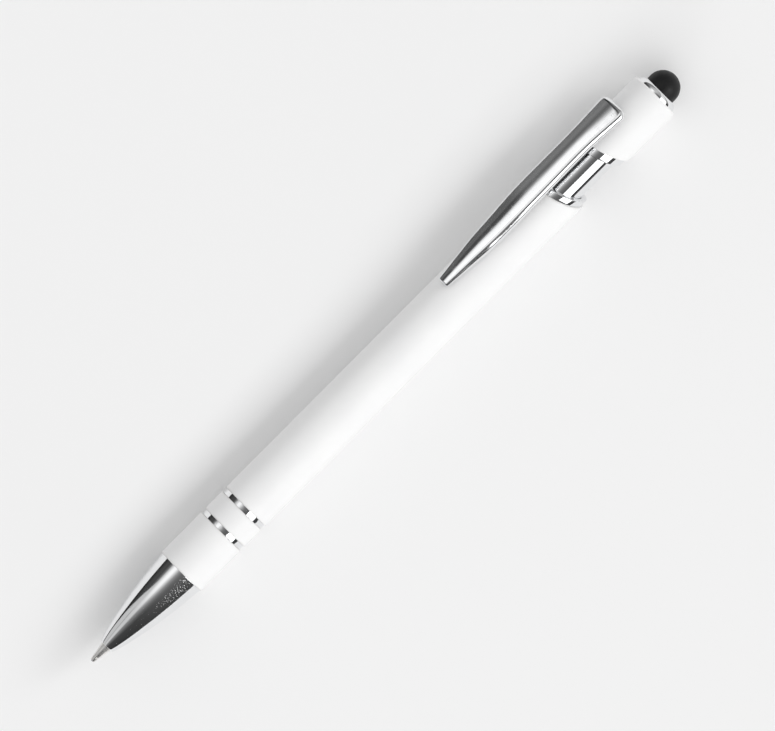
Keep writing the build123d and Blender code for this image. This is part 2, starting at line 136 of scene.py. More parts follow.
def turned(name, profile, closed=True, start=0.0, sweep=2 * pi, segments=SEGMENTS, notch=None):
    """Turns places, radii and slants about the axis. A slanted place leans towards the tip on
    the clip's side. A notch has the shift of the slanted edge there and half its angle."""
    bm = bmesh.new()
    whole = abs(sweep - 2 * pi) < WHOLE_TURN
    angles = [start + sweep * i / segments for i in range(segments if whole else segments + 1)]
    if notch:
        halves = [notch[1] + step for step in (-NOTCH_STEP, NOTCH_STEP)]
        angles = sorted(angles + [CLIP_TURN + side * half for side in (-1, 1) for half in halves])
    rings = []
    for angle in angles:
        lean = SLANT * cos(angle - CLIP_TURN)
        row = [(x - s * r * lean, r) for x, r, s in profile]
        if notch and abs(angle - CLIP_TURN) < notch[1]:
            row = [(x + s * notch[0], r) for x, r, s in profile]
        rings.append([bm.verts.new((x, r * cos(angle), r * sin(angle))) for x, r in row])
    last = len(profile) if closed else len(profile) - 1
    for here, there in zip(rings, rings[1:] + rings[:1] if whole else rings[1:]):
        for j in range(last):
            k = (j + 1) % len(profile)
            corners = [here[j], here[k], there[k], there[j]]
            if profile[j][1] < ON_AXIS:
                corners = [here[j], here[k], there[k]]
            elif profile[k][1] < ON_AXIS:
                corners = [here[j], here[k], there[j]]
            bm.faces.new(corners)
    if not whole:
        cap_ends(bm, rings)
    return finish_mesh(bm, name)


def dress(piece, node, body, material):
    """Puts a piece in a node's place, with its body and finish."""
    piece.data.materials.append(material)
    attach(piece, body)
    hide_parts(node)


# Materials
def grade(ramp, stops):
    """Sets a colour ramp's stops, which are places with greys or colours, in rising order."""
    stops = [(at, tone if isinstance(tone, tuple) else (tone,) * 3) for at, tone in stops]
    for element, (at, tone) in zip(ramp.elements, (stops[0], stops[-1])):
        element.position, element.color = at, (*tone, 1)
    for at, tone in stops[1:-1]:
        ramp.elements.new(at).color = (*tone, 1)


class Paint:
    """Node material about one Principled shader."""

    def __init__(self, name):
        self.material = bpy.data.materials.new(name)
        self.material.use_nodes = True
        self.tree = self.material.node_tree
        self.shader = self.tree.nodes["Principled BSDF"]
        self.place = self.node("ShaderNodeTexCoord").outputs["Object"]

    def node(self, kind, **settings):
        made = self.tree.nodes.new(kind)
        for key, value in settings.items():
            setattr(made, key, value)
        return made

    def link(self, out, into):
        self.tree.links.new(out, into)

    def set(self, **values):
        """Constants of the shader."""
        for key, value in values.items():
            self.shader.inputs[key.replace("_", " ")].default_value = value

    def axes(self):
        """Place along X, Y and Z, in metres."""
        split = self.node("ShaderNodeSeparateXYZ")
        self.link(self.place, split.inputs["Vector"])
        return split.outputs

    def noise(self, scale, detail=3.0, stretch=(1, 1, 1), roughness=0.5):
        mapping = self.node("ShaderNodeMapping")
        mapping.inputs["Scale"].default_value = stretch
        self.link(self.place, mapping.inputs["Vector"])
        grain = self.node("ShaderNodeTexNoise")
        grain.inputs["Scale"].default_value = scale
        grain.inputs["Detail"].default_value = detail
        grain.inputs["Roughness"].default_value = roughness
        self.link(mapping.outputs["Vector"], grain.inputs["Vector"])
        return grain.outputs["Fac"]

    def join(self, first, second, operation="MULTIPLY"):
        both = self.node("ShaderNodeMath", operation=operation)
        self.link(first, both.inputs[0])
        self.link(second, both.inputs[1])
        return both.outputs["Value"]

    def near(self, direction, places, reach):
        """1 at places along a direction, falling to 0 at a reach from them. Millimetres."""
        along = self.node("ShaderNodeVectorMath", operation="DOT_PRODUCT")
        along.inputs[1].default_value = direction
        self.link(self.place, along.inputs[0])
        total = None
        for place in places:
            off = self.node("ShaderNodeMath", operation="SUBTRACT")
            off.inputs[1].default_value = place * MM
            self.link(along.outputs["Value"], off.inputs[0])
            size = self.node("ShaderNodeMath", operation="ABSOLUTE")
            self.link(off.outputs["Value"], size.inputs[0])
            here = self.spread(size.outputs["Value"], 1.0, 0.0, 0.0, reach * MM)
            total = self.join(total, here, "MAXIMUM") if total else here
        return total

    def mix(self, amount, first, second):
        """Colour that goes over to a fixed one by an amount."""
        blend = self.node("ShaderNodeMixRGB")
        self.link(amount, blend.inputs["Fac"])
        self.link(first, blend.inputs["Color1"])
        blend.inputs["Color2"].default_value = (*second, 1)
        return blend.outputs["Color"]

    def spread(self, value, low, high, start=0.3, end=0.7):
        """Value from low to high as another goes from start to end."""
        ranged = self.node("ShaderNodeMapRange")
        ranged.inputs["From Min"].default_value = start
        ranged.inputs["From Max"].default_value = end
        ranged.inputs["To Min"].default_value = low
        ranged.inputs["To Max"].default_value = high
        self.link(value, ranged.inputs["Value"])
        return ranged.outputs["Result"]

    def ramp(self, value, first, last, start=0.3, end=0.7):
        """Colour from first to last as a value goes from start to end."""
        ramp = self.node("ShaderNodeValToRGB")
        grade(ramp.color_ramp, ((start, first), (end, last)))
        self.link(value, ramp.inputs["Fac"])
        return ramp.outputs["Color"]

    def colour(self, out):
        self.link(out, self.shader.inputs["Base Color"])

    def rough(self, out):
        self.link(out, self.shader.inputs["Roughness"])

    def bump(self, height, strength, distance):
        """Bump over the bumps there are, with its distance in millimetres."""
        bump = self.node("ShaderNodeBump")
        bump.inputs["Strength"].default_value = strength
        bump.inputs["Distance"].default_value = distance * MM
        self.link(height, bump.inputs["Height"])
        normal = self.shader.inputs["Normal"]
        if normal.links:
            self.link(normal.links[0].from_socket, bump.inputs["Normal"])
        self.link(bump.outputs["Normal"], normal)


def soft_touch():
    """White rubbery lacquer: very fine grain and faint mottling, rubbed thin along its edges."""
    edge_in, reach = 0.05, 0.3
    straight = [edge_in, CAP_END - 3 * edge_in]
    for place, _ in GROOVES:
        straight += [place - edge_in, place + GROOVE_WIDE + edge_in]
    leaning = (BARREL_END - edge_in, CAP_FRONT + edge_in)
    slope = (1, SLANT * cos(CLIP_TURN), SLANT * sin(CLIP_TURN))
    paint = Paint("soft_touch_white")
    mottle = paint.ramp(paint.noise(160, 4), (0.89, 0.89, 0.888), (0.87, 0.87, 0.872), 0.35, 0.65)
    edges = paint.join(
        paint.near((1, 0, 0), straight, reach), paint.near(slope, leaning, reach), "MAXIMUM"
    )
    rub = paint.join(edges, paint.spread(paint.noise(650, 4), 0.0, 1.0, 0.35, 0.62))
    paint.colour(paint.mix(rub, mottle, (0.78, 0.775, 0.765)))
    shine = paint.spread(rub, 0.0, -0.16, 0.0, 1.0)
    paint.rough(paint.join(paint.spread(paint.noise(420, 5), 0.46, 0.62), shine, "ADD"))
    paint.set(Specular_IOR_Level=0.35, Sheen_Weight=0.08, Sheen_Roughness=0.5)
    paint.bump(paint.noise(9000, 2), 0.12, 0.01)
    paint.bump(paint.noise(700, 2), 0.08, 0.03)
    return paint.material


def chrome(name, rough=(0.035, 0.08), wave=0.05, ripple=500, lines=0.0, specks=0.0):
    """Bright plating: faint waves, smudges and hairline scratches. Some pieces have turning
    lines, or specks on the near side that get denser towards the barrel."""
    paint = Paint(name)
    paint.set(Metallic=1.0)
    paint.colour(paint.ramp(paint.noise(300, 4), (0.90, 0.905, 0.91), (0.85, 0.855, 0.865)))
    smudge = paint.spread(paint.noise(900, 6, roughness=0.6), *rough)
    hairs = paint.join(
        paint.spread(paint.noise(1, 2, stretch=(260, 9000, 9000)), 0.0, 1.0, 0.63, 0.68),
        paint.spread(paint.noise(1, 2, stretch=(7000, 900, 200)), 0.0, 1.0, 0.66, 0.7),
        "MAXIMUM",
    )
    scratches = paint.join(hairs, paint.spread(paint.noise(220, 2), 0.0, 0.13, 0.45, 0.6))
    paint.rough(paint.join(smudge, scratches, "ADD"))
    paint.bump(paint.noise(ripple, 2), wave, 0.05)
    if lines:
        paint.bump(paint.noise(1, 2, stretch=(9000, 60, 60)), lines, 0.01)
    if specks:
        grains = paint.spread(paint.noise(4000, 2), 0.0, 1.0, 0.61, 0.69)
        axes = paint.axes()
        side = paint.spread(axes["Y"], 1.0, 0.0, -1.2 * MM, 0.0)
        rear = paint.spread(axes["X"], 0.2, 1.0, -13 * MM, -3 * MM)
        paint.bump(paint.join(grains, paint.join(side, rear)), specks, 0.02)
    return paint.material


def rubber():
    """Black conductive rubber: dull, with a fine moulded grain, greyer where it rubs on screens."""
    worn_place, worn_reach = 121.2, 1.3
    paint = Paint("stylus_rubber")
    base = paint.ramp(paint.noise(900, 4), (0.0025, 0.0025, 0.0027), (0.0048, 0.0048, 0.0052))
    worn = paint.near((1, 0, 0), (worn_place,), worn_reach)
    rub = paint.join(worn, paint.spread(paint.noise(1100, 4), 0.1, 0.8, 0.35, 0.65))
    paint.colour(paint.mix(rub, base, (0.014, 0.014, 0.014)))
    paint.rough(paint.spread(paint.noise(1500, 4), 0.44, 0.58))
    paint.set(Specular_IOR_Level=0.36)
    paint.bump(paint.noise(7000, 3), 0.25, 0.02)
    return paint.material


def plain_metal(name, dark, light, rough, marks=0.1):
    """Turned metal with faint tool marks."""
    paint = Paint(name)
    paint.set(Metallic=1.0)
    paint.colour(paint.ramp(paint.noise(600, 4), dark, light))
    paint.rough(paint.spread(paint.noise(1200, 4), *rough))
    paint.bump(paint.noise(1, 2, stretch=(7000, 200, 200)), marks, 0.02)
    return paint.material


def plastic(name, dark, light, rough, ink=None):
    """Moulded plastic with a faint flow mottle, or a tube that is dark with ink up to a place."""
    paint = Paint(name)
    mottle = paint.ramp(paint.noise(350, 4), dark, light)
    if ink:
        full = paint.spread(paint.axes()["X"], 1.0, 0.0, ink * MM, (ink + 0.3) * MM)
        mottle = paint.mix(full, mottle, (0.012, 0.015, 0.045))
    paint.colour(mottle)
    paint.rough(paint.spread(paint.noise(800, 3), *rough))
    paint.bump(paint.noise(2500, 2), 0.08, 0.02)
    return paint.material


# Dark and light colours and ranges of roughness of the plain materials
POINT = ((0.8, 0.79, 0.77), (0.92, 0.91, 0.89), (0.34, 0.44))
BALL = ((0.45, 0.45, 0.46), (0.6, 0.6, 0.61), (0.08, 0.2))
SPRING = ((0.5, 0.5, 0.51), (0.66, 0.66, 0.67), (0.18, 0.34))
BRASS = ((0.62, 0.44, 0.2), (0.78, 0.58, 0.3), (0.2, 0.36))
CAM = ((0.72, 0.73, 0.74), (0.8, 0.8, 0.8), (0.32, 0.46))
REFILL = ((0.74, 0.75, 0.76), (0.83, 0.83, 0.83), (0.22, 0.36))
INK_END = 46.0
white = soft_touch()
bright = chrome("chrome")
ring_chrome = chrome("chrome_ring", wave=0.3, ripple=1600)
clip_chrome = chrome("chrome_clip", rough=(0.08, 0.11), wave=0.02)
nose_chrome = chrome("chrome_nose", specks=0.26)
neck_chrome = chrome("chrome_neck", lines=0.12)
black = rubber()
point_steel = plain_metal("point_metal", *POINT, marks=0.03)
ball_steel = plain_metal("ball_metal", *BALL)
spring_steel = plain_metal("spring_steel", *SPRING)
brass = plain_metal("bush_brass", *BRASS)
cam_white = plastic("cam_plastic", *CAM)
refill_clear = plastic("refill_plastic", *REFILL)
refill_inked = plastic("refill_inked", *REFILL, ink=INK_END)

# Hidden pieces keep the shapes of the frame
for node, material in {
    "front_bush": brass,
    "cam_guide": cam_white,
    "push_cam": cam_white,
    "rotor": cam_white,
    "cap_liner": cam_white,
    "stylus_post": cam_white,
    "refill_tube": refill_inked,
    "refill_adapter": refill_clear,
    "refill_plug": refill_clear,
    "refill_ball": ball_steel,
}.items():
    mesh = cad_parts[node].data
    mesh.materials.clear()
    mesh.materials.append(material)

# Barrel: roundings at its front, its grooves and its slanted end, with rows of points between
BORE_R, GROOVE_R = 3.9, 4.29
FRONT_ROUND, GROOVE_ROUND, END_ROUND = 0.12, 0.05, 0.07
ROW_A, ROW_B = 40, 70
profile = flat((0, BORE_R))
profile += arc(FRONT_ROUND, BARREL_R - FRONT_ROUND, FRONT_ROUND, 180, 90, 5)
for place, _ in GROOVES:
    end = place + GROOVE_WIDE
    profile += arc(place - GROOVE_ROUND, BARREL_R - GROOVE_ROUND, GROOVE_ROUND, 90, 0, 3)
    profile += flat((place, GROOVE_R), (end, GROOVE_R))
    profile += arc(end + GROOVE_ROUND, BARREL_R - GROOVE_ROUND, GROOVE_ROUND, 180, 90, 3)
profile += flat((ROW_A, BARREL_R), (ROW_B, BARREL_R))
profile += arc(BARREL_END - END_ROUND, BARREL_R - END_ROUND, END_ROUND, 90, 0, 4, 1)
profile += slanted((BARREL_END, BORE_R)) + flat((ROW_B, BORE_R), (ROW_A, BORE_R))
dress(turned("barrel_skin", profile), "barrel", "body", white)

# Trim rings with crowned faces, slit on the underside
RING_R, RING_BORE_R, RING_GAP = 4.55, 4.32, 0.05
CROWN_DROP, CROWN_STEPS = 0.015, 8
SLIT_START, RING_SWEEP = radians(-88), radians(356)
for place, node in GROOVES:
    start, end = place + RING_GAP, place + GROOVE_WIDE - RING_GAP
    profile = flat((start, RING_BORE_R))
    for i in range(CROWN_STEPS + 1):
        t = i / CROWN_STEPS
        profile += flat((start + (end - start) * t, RING_R - CROWN_DROP * (2 * t - 1) ** 2))
    profile += flat((end, RING_BORE_R))
    ring = turned(node + "_band", profile, start=SLIT_START, sweep=RING_SWEEP)
    dress(ring, node, "body", ring_chrome)

# Nose cone: lip of its mouth, outside, rear edge, spigot in the barrel, and the spring's bore
NOSE_FRONT, NOSE_LONG, NOSE_STEPS = -18.27, 18.27, 60
NOSE_AT = [0.0, 1.2, 2.8, 5.9, 9.0, 12.3, 15.6, NOSE_LONG]
NOSE_R = [1.45, 1.86, 2.30, 2.97, 3.54, 4.03, 4.41, 4.66]
MOUTH_R, LIP_IN, LIP_OUT, LIP_OUT_R = 1.2, 0.1, 0.12, 1.36
NOSE_REAR, NOSE_REAR_R, NOSE_ROUND, NOSE_ROUND_R = -0.07, 4.655, 0.05, 4.607
SPIGOT_R, SPIGOT_END, SPRING_BORE_R = 3.2, 8, 2.3
profile = arc(NOSE_FRONT + LIP_IN, MOUTH_R + LIP_IN, LIP_IN, 270, 180, 4)
profile += arc(NOSE_FRONT + LIP_OUT, LIP_OUT_R, LIP_OUT, 180, 120, 4)
for i in range(1, NOSE_STEPS):
    along = NOSE_LONG * i / NOSE_STEPS
    profile += flat((NOSE_FRONT + along, spline(NOSE_AT, NOSE_R, along)))
profile += flat((NOSE_REAR, NOSE_REAR_R))
profile += arc(-NOSE_ROUND, NOSE_ROUND_R, NOSE_ROUND, 84, 0, 3)
profile += flat((0, SPIGOT_R), (SPIGOT_END, SPIGOT_R), (SPIGOT_END, SPRING_BORE_R))
profile += flat((SPRING_FRONT, SPRING_BORE_R), (SPRING_FRONT, MOUTH_R))
dress(turned("nose_shell", profile), "nose_cone", "body", nose_chrome)

# Slanted bush at the rear of the barrel: sleeve in the barrel, and a lip with three roundings
BUSH_FRONT, BUSH_BORE_R, BUSH_R = 87.15, 3.45, 3.87
LIP_R, LIP_END = 4.45, 93.65
LIP_FRONT_ROUND, LIP_REAR_ROUND, LIP_BORE_ROUND = 0.05, 0.18, 0.16
profile = flat((BUSH_FRONT, BUSH_BORE_R), (BUSH_FRONT, BUSH_R))
profile += slanted((BARREL_END, BUSH_R))
for place, r, radius, start, end, steps in (
    (BARREL_END + LIP_FRONT_ROUND, LIP_R - LIP_FRONT_ROUND, LIP_FRONT_ROUND, 180, 90, 3),
    (LIP_END - LIP_REAR_ROUND, LIP_R - LIP_REAR_ROUND, LIP_REAR_ROUND, 90, 0, 6),
    (LIP_END - LIP_BORE_ROUND, BUSH_BORE_R + LIP_BORE_ROUND, LIP_BORE_ROUND, 0, -90, 5),
):
    profile += arc(place, r, radius, start, end, steps, 1)
dress(turned("barrel_bush_lip", profile), "barrel_bush", "body", bright)

# Plunger tube: flange, neck and flared collar
FLANGE_FRONT, FLANGE_REAR, FLANGE_R = 80.8, 82.0, 3.75
NECK_R, NECK_BORE_R, NECK_ROW, NECK_END = 3.4, 2.8, 96, 111.0
COLLAR, COLLAR_R, FLARE, COLLAR_ROUND = 102.35, 4.3, 0.35, 0.07
profile = flat((FLANGE_FRONT, NECK_BORE_R), (FLANGE_FRONT, FLANGE_R), (FLANGE_REAR, FLANGE_R))
profile += flat((FLANGE_REAR, NECK_R), (NECK_ROW, NECK_R))
profile += arc(COLLAR - FLARE, NECK_R + FLARE, FLARE, 270, 360, 6, 1)
profile += arc(COLLAR + COLLAR_ROUND, COLLAR_R - COLLAR_ROUND, COLLAR_ROUND, 180, 90, 4, 1)
profile += slanted((CAP_FRONT, COLLAR_R), (CAP_FRONT, NECK_R))
profile += flat((NECK_END, NECK_R), (NECK_END, NECK_BORE_R))
dress(turned("neck_tube", profile), "plunger_tube", "plunger", neck_chrome)

# Push cap with the notch of the clip's foot
CAP_R, CAP_BORE_R, CAP_ROW = 4.71, 4.21, 110
EDGE_ROUND, CAP_ROUND = 0.08, 0.45
NOTCH_X, NOTCH_HALF = 103.17, 1.15
profile = slanted((CAP_FRONT, CAP_BORE_R))
profile += arc(CAP_FRONT + EDGE_ROUND, CAP_R - EDGE_ROUND, EDGE_ROUND, 180, 90, 4, 1)
profile += flat((CAP_ROW, CAP_R))
profile += arc(CAP_END - CAP_ROUND, CAP_R - CAP_ROUND, CAP_ROUND, 90, 0, 10)
profile += flat((CAP_END, CAP_BORE_R), (CAP_ROW, CAP_BORE_R))
cap = turned("cap_skin", profile, notch=(NOTCH_X - CAP_FRONT, NOTCH_HALF / CAP_R))
dress(cap, "cap_shell", "plunger", white)

# Crown ring: skirt in the cap, bore of the stylus, and a rounded shoulder
SKIRT_FRONT, SKIRT_R, SKIRT_BORE_R = CAP_END - 4, 4.18, 3.48
LEDGE, CROWN_BORE_R, CROWN_RIM = CAP_END - 0.8, 3.08, CAP_END + 1.05
SHOULDER_TALL, SHOULDER_R, SHOULDER_WIDE, SHOULDER_STEPS = 1.15, 3.16, 0.99, 16
profile = flat((CAP_END, SKIRT_R), (SKIRT_FRONT, SKIRT_R), (SKIRT_FRONT, SKIRT_BORE_R))
profile += flat((LEDGE, SKIRT_BORE_R), (LEDGE, CROWN_BORE_R), (CROWN_RIM, CROWN_BORE_R))
for i in range(SHOULDER_STEPS + 1):
    rise = radians(90 * i / SHOULDER_STEPS)
    shoulder = CAP_END + SHOULDER_TALL * cos(rise)
    profile += flat((shoulder, SHOULDER_R + SHOULDER_WIDE * sin(rise)))
dress(turned("crown_band", profile), "crown_ring", "plunger", bright)

# Stylus tip: hollow dome with a heel that the crown ring holds
DOME_X, DOME_R, DOME_BORE_R, DOME_ROW = 118.0, 3.03, 2.13, 117.5
HEEL_FRONT, HEEL_REAR, HEEL_R = 114.45, 115.25, 3.43
profile = arc(DOME_X, 0, DOME_R, 0, 90, 28)
profile += flat((DOME_ROW, DOME_R), (HEEL_REAR, DOME_R), (HEEL_REAR, HEEL_R))
profile += flat((HEEL_FRONT, HEEL_R), (HEEL_FRONT, DOME_BORE_R))
profile += arc(DOME_X, 0, DOME_BORE_R, 90, 0, 10)
dome = turned("stylus_dome", profile, closed=False)
dress(dome, "stylus_tip", "plunger", black)

# Refill point: socket of the ball, crimp, cone, body, shank and ink ways
SOCKET_FRONT, SOCKET_END, SOCKET_R = -21.72, -21.3, 0.37
SOCKET_ROUND, SOCKET_ROUND_X, SOCKET_ROUND_R = 0.02, -21.70, 0.40
CRIMP = ((-20.9, 0.56), (-20.82, 0.55), (-20.72, 0.59))
CONE_END, CONE_R, CONE_ROUND, POINT_R = -17.65, 1.13, 0.15, 1.15
SHANK_FRONT, SHANK_END, SHANK_R = -8.65, -5.65, 0.85
INK_WAY_R, FEED_R = 0.45, 0.2
profile = flat((SOCKET_FRONT, SOCKET_R))
profile += arc(SOCKET_ROUND_X, SOCKET_ROUND_R, SOCKET_ROUND, 200, 110, 3)
profile += flat(*CRIMP, (CONE_END, CONE_R))
profile += arc(CONE_END + CONE_ROUND, POINT_R - CONE_ROUND, CONE_ROUND, 110, 90, 2)
profile += flat((SHANK_FRONT, POINT_R), (SHANK_FRONT, SHANK_R), (SHANK_END, SHANK_R))
profile += flat((SHANK_END, INK_WAY_R), (CONE_END, INK_WAY_R), (CONE_END, FEED_R))
profile += flat((SOCKET_END, FEED_R), (SOCKET_END, SOCKET_R))
point = turned("refill_point_turned", profile, segments=POINT_SEGMENTS)
dress(point, "refill_point", "refill", point_steel)

# Return spring, closed at its ends, between its seat in the nose and the refill's flange. In the
# pen it shortens and lengthens; here it is one coil of fixed length
COIL_R, WIRE_R, CLOSED_PITCH, SEAT_GAP = 1.75, 0.2, 0.45, 0.02
COIL_TURNS, COIL_STEPS, WIRE_SIDES = 8, 40, 12
coil_start, coil_end = SPRING_FRONT + WIRE_R + SEAT_GAP, SPRING_REAR - WIRE_R - SEAT_GAP
turns = [0, 1, COIL_TURNS - 1, COIL_TURNS]
places = [coil_start, coil_start + CLOSED_PITCH, coil_end - CLOSED_PITCH, coil_end]
steps = range(COIL_TURNS * COIL_STEPS + 1)
coil = [spline(turns, places, i / COIL_STEPS) for i in steps]
bm = bmesh.new()
rings = []
for i, x in enumerate(coil):
    angle = 2 * pi * i / COIL_STEPS
    out = Vector((0, cos(angle), sin(angle)))
    around = Vector((0, -sin(angle), cos(angle))) * (4 * pi * COIL_R / COIL_STEPS)
    run = Vector((coil[min(i + 1, steps[-1])] - coil[max(i - 1, 0)], 0, 0)) + around
    side = run.cross(out).normalized()
    core = Vector((x, 0, 0)) + out * COIL_R
    wire = [2 * pi * j / WIRE_SIDES for j in range(WIRE_SIDES)]
    rings.append([bm.verts.new(core + (out * cos(t) + side * sin(t)) * WIRE_R) for t in wire])
skin(bm, rings)
cap_ends(bm, rings)
spring = finish_mesh(bm, "return_spring_coil")
spring.data.materials.append(spring_steel)
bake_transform(spring)
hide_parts("return_spring")

# Clip: stamped channel. Half width, depth, height of its low edge, dome of its roof, and how
# much wider its near side is, at shares of its length from the front end
CLIP_FRONT, CLIP_REAR, SHEET = 67.1, 110.1, 0.5
CLIP_WIDE, CLIP_DEEP, CLIP_RISE, CLIP_CROWN = 5.7, 1.75, 0.87, 0.24
CLIP_AT = [0.0, 0.12, 0.25, 0.5, 0.75, 1.0]
CLIP_HALF = [CLIP_WIDE * w / 2 for w in (0.37, 0.56, 0.72, 0.80, 0.77, 1.0)]
CLIP_DEPTH = [CLIP_DEEP * d for d in (0.42, 0.64, 0.86, 1.0, 0.98, 0.76)]
CLIP_LOW = [BARREL_R + CLIP_RISE * r for r in (0.22, 0.15, 0.09, 0.69, 0.88, 1.0)]
CLIP_DOME = [CLIP_CROWN * d for d in (0.5, 0.7, 0.9, 1.0, 1.0, 0.9)]
CLIP_NEAR = [0.0, 0.0, 0.12, 0.38, 0.4, 0.2]
ROOF_LEAN, NEAR_LIFT = 10.0, 1.4
FAR_ROUND, FAR_SHARE, NEAR_ROUND, NEAR_SHARE = 0.12, 0.08, 0.9, 0.45
LEAST_ROUND, LEAST_WALL, LOW_EDGE = 0.12, 0.1, 0.06
END_STEPS = [0, 0.015, 0.05, 0.1, 0.17, 0.25, 0.35, 0.46, 0.58, 0.72, 0.88, 1.05, 1.25, 1.5]
MIDDLE_STEPS = 80

# Ends of its outer and inner skins: place, radius of the corners and radius of the roof's edge
OUTER_ENDS = (CLIP_FRONT, 0.35, 0.3), (CLIP_REAR, 1.5, 0.85)
INNER_ENDS = (CLIP_FRONT + 1.2, 0.3, 0.3), (CLIP_REAR - SHEET, 0.5, 0.3)


def clip_point(x, across, height):
    """Point of the clip from its place along the axis, across it and above the axis."""
    return Vector((x, 0, 0)) + CLIP_SIDE * across + CLIP_UP * height


def bend(across, height, radius, start, end, steps):
    """Points of a rounding of the sheet, with the leans of its face in degrees, + to the near
    side."""
    leans = [radians(start + (end - start) * i / steps) for i in range(steps + 1)]
    return [(across - radius * sin(t), height + radius * cos(t)) for t in leans]


def rounded(gap, radius):
    """Drop of a rounding of an end at a gap from that end."""
    return radius - sqrt(radius**2 - (radius - gap) ** 2) if gap < radius else 0.0


def clip_section(x, inset, ends):
    """Section of the clip's shell at a place, from its far low edge over the roof to the near
    one."""
    share = (x - CLIP_FRONT) / (CLIP_REAR - CLIP_FRONT)
    half = spline(CLIP_AT, CLIP_HALF, share)
    wide = spline(CLIP_AT, CLIP_NEAR, share)
    low = spline(CLIP_AT, CLIP_LOW, share)
    crest = low + spline(CLIP_AT, CLIP_DEPTH, share) + spline(CLIP_AT, CLIP_DOME, share)
    far = max(min(FAR_ROUND, FAR_SHARE * half) - inset, LEAST_ROUND)
    near = max(min(NEAR_ROUND, NEAR_SHARE * half) - inset, LEAST_ROUND)
    half, crest = half - inset, crest - inset
    for end, corner, drop in ends:
        half -= rounded(abs(x - end), corner)
        crest -= rounded(abs(x - end), drop)
    lean = radians(ROOF_LEAN)
    outer, lift = half + wide, low + NEAR_LIFT * wide
    left, right = half - far + far * sin(lean), -outer + near - near * sin(lean)
    radius = (left - right) / (2 * sin(lean))
    edge = crest - radius * (1 - cos(lean))
    near = min(near, edge - lift - LEAST_WALL)
    points = [(half - LOW_EDGE, low), (half, low + LOW_EDGE)]
    points += bend(half - far, edge - far * cos(lean), far, -90, -ROOF_LEAN, 8)
    points += bend((left + right) / 2, crest - radius, radius, -ROOF_LEAN, ROOF_LEAN, 16)[1:-1]
    points += bend(-outer + near, edge - near * cos(lean), near, ROOF_LEAN, 90, 16)
    points += [(-outer, lift + LOW_EDGE), (-outer + LOW_EDGE, lift)]
    return [clip_point(x, a, h) for a, h in points]


def clip_places(front, rear):
    """Places along the clip, closer together at its ends."""
    zone = END_STEPS[-1]
    step = (rear - front - 2 * zone) / MIDDLE_STEPS
    middle = [front + zone + step * i for i in range(1, MIDDLE_STEPS)]
    return [front + n for n in END_STEPS] + middle + [rear - n for n in reversed(END_STEPS)]


def clip_skin(bm, inset, ends):
    """Skin over a row of sections, closed at both ends. Gives the edges of its open side."""
    sections = [clip_section(x, inset, ends) for x in clip_places(ends[0][0], ends[1][0])]
    rows = [[bm.verts.new(p) for p in section] for section in sections]
    skin(bm, rows, around=False)
    cap_ends(bm, rows)
    loop = [row[0] for row in rows] + [row[-1] for row in reversed(rows)]
    return [bm.edges.get(pair) for pair in zip(loop, loop[1:] + loop[:1])]


bm = bmesh.new()
rim = clip_skin(bm, 0, OUTER_ENDS) + clip_skin(bm, SHEET, INNER_ENDS)
bmesh.ops.triangle_fill(bm, use_beauty=True, use_dissolve=False, edges=rim)

# Foot of the clip, bent from the roof down into the notch of the cap and back along the neck
FOOT_X, FOOT_HALF, FOOT_TOP, FOOT_ROUND, FOOT_FILLET = 102.52, 1.0, 7.2, 0.5, 0.12
FOOT_TURNS = (0.4, 0.8, 1.2, pi / 2)
TAB_END, TAB_LOW, TAB_HIGH, TAB_EDGE = 105.62, 3.62, 4.02, 0.1
foot = [(FOOT_X, FOOT_TOP), (FOOT_X, TAB_LOW + FOOT_ROUND)]
for t in FOOT_TURNS:
    foot.append((FOOT_X + FOOT_ROUND * (1 - cos(t)), TAB_LOW + FOOT_ROUND * (1 - sin(t))))
foot += [(TAB_END - TAB_EDGE, TAB_LOW), (TAB_END, TAB_LOW + TAB_EDGE)]
foot += [(TAB_END, TAB_HIGH - TAB_EDGE), (TAB_END - TAB_EDGE, TAB_HIGH)]
foot += [(FOOT_X + SHEET + FOOT_FILLET, TAB_HIGH), (FOOT_X + SHEET, TAB_HIGH + FOOT_FILLET)]
foot += [(FOOT_X + SHEET, FOOT_TOP)]
sides = []
for across in (-FOOT_HALF, FOOT_HALF):
    sides.append([bm.verts.new(clip_point(x, across, h)) for x, h in foot])
skin(bm, sides)
cap_ends(bm, sides)
clip = finish_mesh(bm, "clip_stamping", CLIP_SHARP)
dress(clip, "clip", "clip", clip_chrome)

# Floor
FLOOR_HALF, FLOOR_X, FLOOR_GREYS = 6000, 50, (0.906, 0.912)
floor_paint = Paint("floor_pale")
floor_paint.colour(floor_paint.ramp(floor_paint.noise(9, 2), *FLOOR_GREYS))
floor_paint.set(Roughness=0.9, Specular_IOR_Level=0.0)
bm = bmesh.new()
bmesh.ops.create_grid(bm, x_segments=8, y_segments=8, size=FLOOR_HALF)
bmesh.ops.translate(bm, vec=(FLOOR_X, 0, -BARREL_R), verts=bm.verts)
floor = finish_mesh(bm, "floor")
floor.data.materials.append(floor_paint.material)


# Light
def area_lamp(name, width, height, power, matrix):
    """Rectangular lamp that the camera doesn't see. Metres."""
    lamp = bpy.data.lights.new(name, "AREA")
    lamp.shape = "RECTANGLE"
    lamp.size, lamp.size_y, lamp.energy = width, height, power
    stand = bpy.data.objects.new(name, lamp)
    stand.matrix_world = Matrix(matrix)
    stand.visible_camera = False
    bpy.context.scene.collection.objects.link(stand)
    return stand


